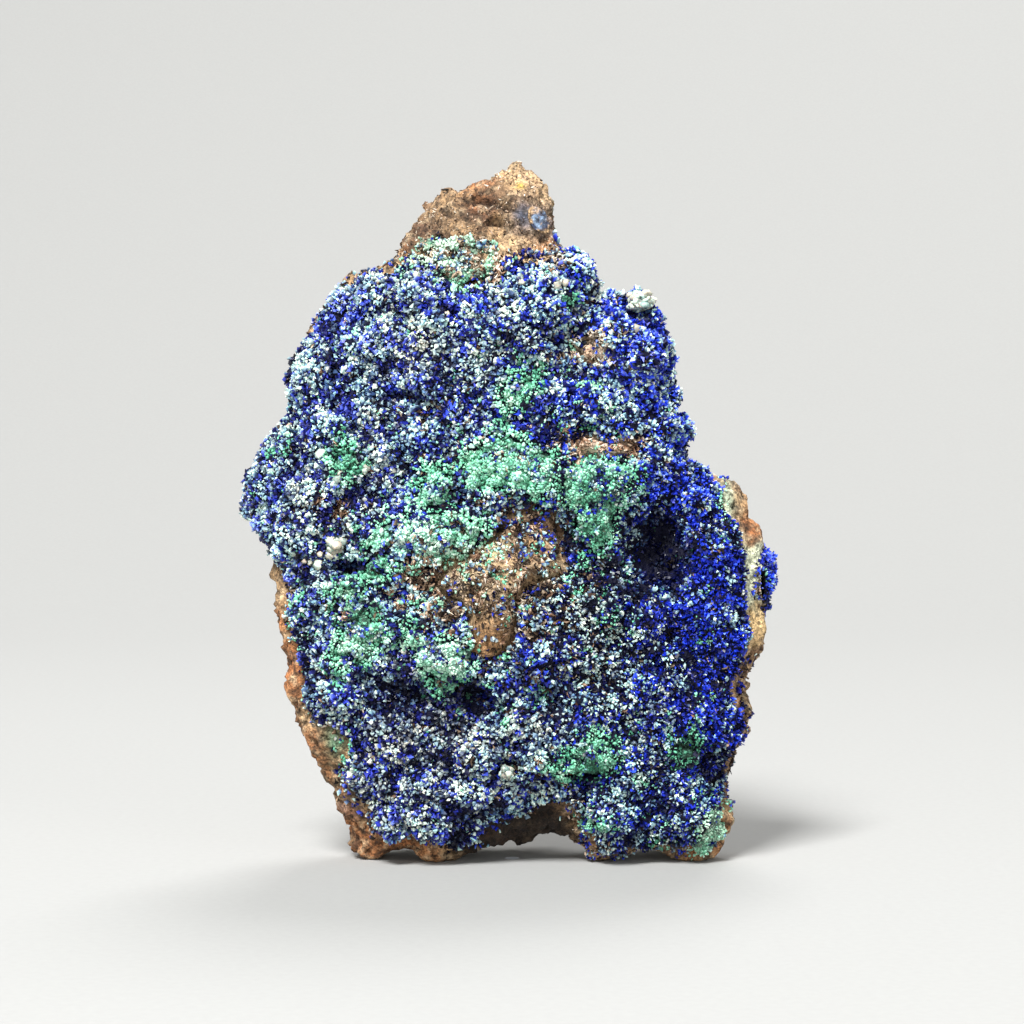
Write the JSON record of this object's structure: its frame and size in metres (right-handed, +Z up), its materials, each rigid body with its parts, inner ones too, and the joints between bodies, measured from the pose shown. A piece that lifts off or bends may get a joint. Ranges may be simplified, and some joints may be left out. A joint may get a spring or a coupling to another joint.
{
  "type": "azurite mineral specimen",
  "caption": "Upright cabinet mineral specimen: sparkling blue azurite druse with green malachite crusts over a brown rock slab whose bare summit rises above it.",
  "frame": {"origin": "middle of the specimen's width and depth, on the level its cut foot stands on", "axes": "+Z up through the summit, +X to the right seen from the crystal face, -Y out of the crystal face"},
  "size_m": [0.0721, 0.0308, 0.0949],
  "materials": {
    "iron_stained_rock": "rough broken surface, matt, tan to reddish brown",
    "azurite_crystals": "tiny glossy crystals, deep royal blue, dusted with white and pale green grains",
    "azurite_film": "thin dull blue-grey film",
    "malachite_velvet": "matt knobbly crust, mint green",
    "malachite_pale": "matt powdery crust, pale green",
    "malachite_dark": "matt knobbly crust, darker green",
    "calcite_grains": "knots of translucent white grains"
  },
  "bodies": {
    "root": {"matrix_rock": "iron_stained_rock", "azurite_druse": "azurite_crystals", "azurite_flank_crust": "azurite_crystals", "azurite_summit_film": "azurite_film", "malachite_crust_centre": "malachite_velvet", "malachite_nodule_left": "malachite_velvet", "malachite_crust_left_band": "malachite_pale", "malachite_knoll_right": "malachite_velvet", "malachite_crust_left": "malachite_dark", "malachite_crust_lower_left": "malachite_pale", "malachite_crust_bottom": "malachite_velvet", "malachite_crust_corner": "malachite_pale", "malachite_crust_top": "malachite_pale", "malachite_spot_upper": "malachite_velvet", "malachite_spot_left": "malachite_dark", "malachite_spot_low_right": "malachite_dark", "calcite_knot_upper_right": "calcite_grains", "calcite_knot_left": "calcite_grains", "calcite_knot_low_middle": "calcite_grains"}
  },
  "joints": []
}
